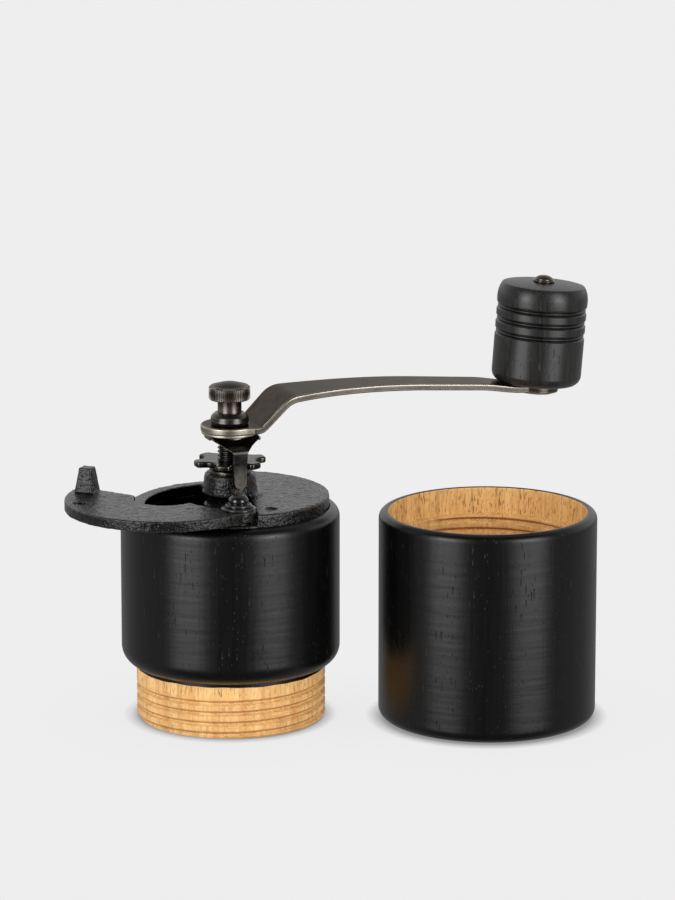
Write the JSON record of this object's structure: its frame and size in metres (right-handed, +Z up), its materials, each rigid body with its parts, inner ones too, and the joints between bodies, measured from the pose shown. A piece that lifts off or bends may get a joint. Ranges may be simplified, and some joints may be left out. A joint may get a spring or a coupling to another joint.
{
  "type": "hand crank coffee grinder",
  "caption": "Compact hand coffee mill taken apart in two halves: turned wooden mill body with a cast top, swivelling lid and crank, beside its screw-on wooden cup.",
  "frame": {"origin": "on the spindle's axis, in the plane that the neck and the cup stand on", "axes": "+X from the mill towards the cup, +Y to the back, +Z up along the spindle"},
  "size_m": [0.1692, 0.0958, 0.1365],
  "materials": {
    "black_wood": "black satin lacquer on turned hardwood, bare tan wood on the neck and inside the cup",
    "black_casting": "rough black painted casting",
    "burr_iron": "hard cast, dull",
    "bush_brass": "plain turned",
    "dark_steel": "blackened steel, lighter on worn edges",
    "plain_steel": "plain zinc"
  },
  "bodies": {
    "mill": {"housing": "black_wood", "top_plate": "black_casting", "plate_screw_1": "plain_steel", "plate_screw_2": "plain_steel", "shaft_bush": "bush_brass", "burr_carrier": "black_casting", "lower_bush": "bush_brass", "outer_burr": "burr_iron", "carrier_screw_1": "plain_steel", "carrier_screw_2": "plain_steel", "carrier_screw_3": "plain_steel", "flap_pivot": "dark_steel", "flap_cap": "dark_steel", "flap_spring_washer": "plain_steel"},
    "star_nut": {"adjusting_nut": "dark_steel", "thrust_washer": "dark_steel", "thrust_spring": "plain_steel"},
    "spindle": {"shaft": "dark_steel", "inner_burr": "burr_iron", "burr_washer": "plain_steel", "burr_nut": "plain_steel", "retaining_ring": "plain_steel", "spring_seat": "plain_steel", "lock_clip": "dark_steel", "crank_washer": "dark_steel", "crank_arm": "dark_steel", "knob_pin": "dark_steel", "knob_low_washer": "plain_steel", "knob_top_washer": "dark_steel"},
    "knob": {"crank_knob": "black_wood"},
    "bead": {"dome_washer": "dark_steel"},
    "thumb": {"thumb_screw": "dark_steel"},
    "lid": {"hopper_flap": "black_casting"},
    "cup": {"receiver_cup": "black_wood"}
  },
  "joints": [
    {"name": "crank_turn", "type": "hinge", "parent": "mill", "child": "star_nut", "pos_m": [0, 0, 0.0805], "axis": [0, 0, 1], "continuous": true},
    {"name": "grind_adjust", "type": "slide", "parent": "star_nut", "child": "spindle", "axis": [0, 0, 1], "range_m": [-0.0008, 0.0008], "deforming": ["thrust_spring"]},
    {"name": "knob_spin", "type": "hinge", "parent": "spindle", "child": "knob", "pos_m": [0.09857, 0.03588, 0.10097], "axis": [0.0749, 0.0273, 0.9968], "continuous": true},
    {"name": "thumb_lift", "type": "slide", "parent": "spindle", "child": "bead", "axis": [0, 0, 1], "range_m": [0, 0.0064]},
    {"name": "thumb_turn", "type": "hinge", "parent": "bead", "child": "thumb", "pos_m": [0, 0, 0.0994], "axis": [0, 0, 1], "range_deg": [0, 2882]},
    {"name": "lid_swing", "type": "hinge", "parent": "mill", "child": "lid", "pos_m": [0.0033, -0.02766, 0.0725], "axis": [0, 0, 1], "range_deg": [-49.8, 18]},
    {"name": "cup_slide", "type": "slide", "parent": "mill", "child": "cup", "axis": [1, 0, 0], "range_m": [-0.01, 0.1]}
  ],
  "couplings": [
    {"joint": "thumb_turn", "follows": "thumb_lift", "rad_per_m": 7854}
  ]
}
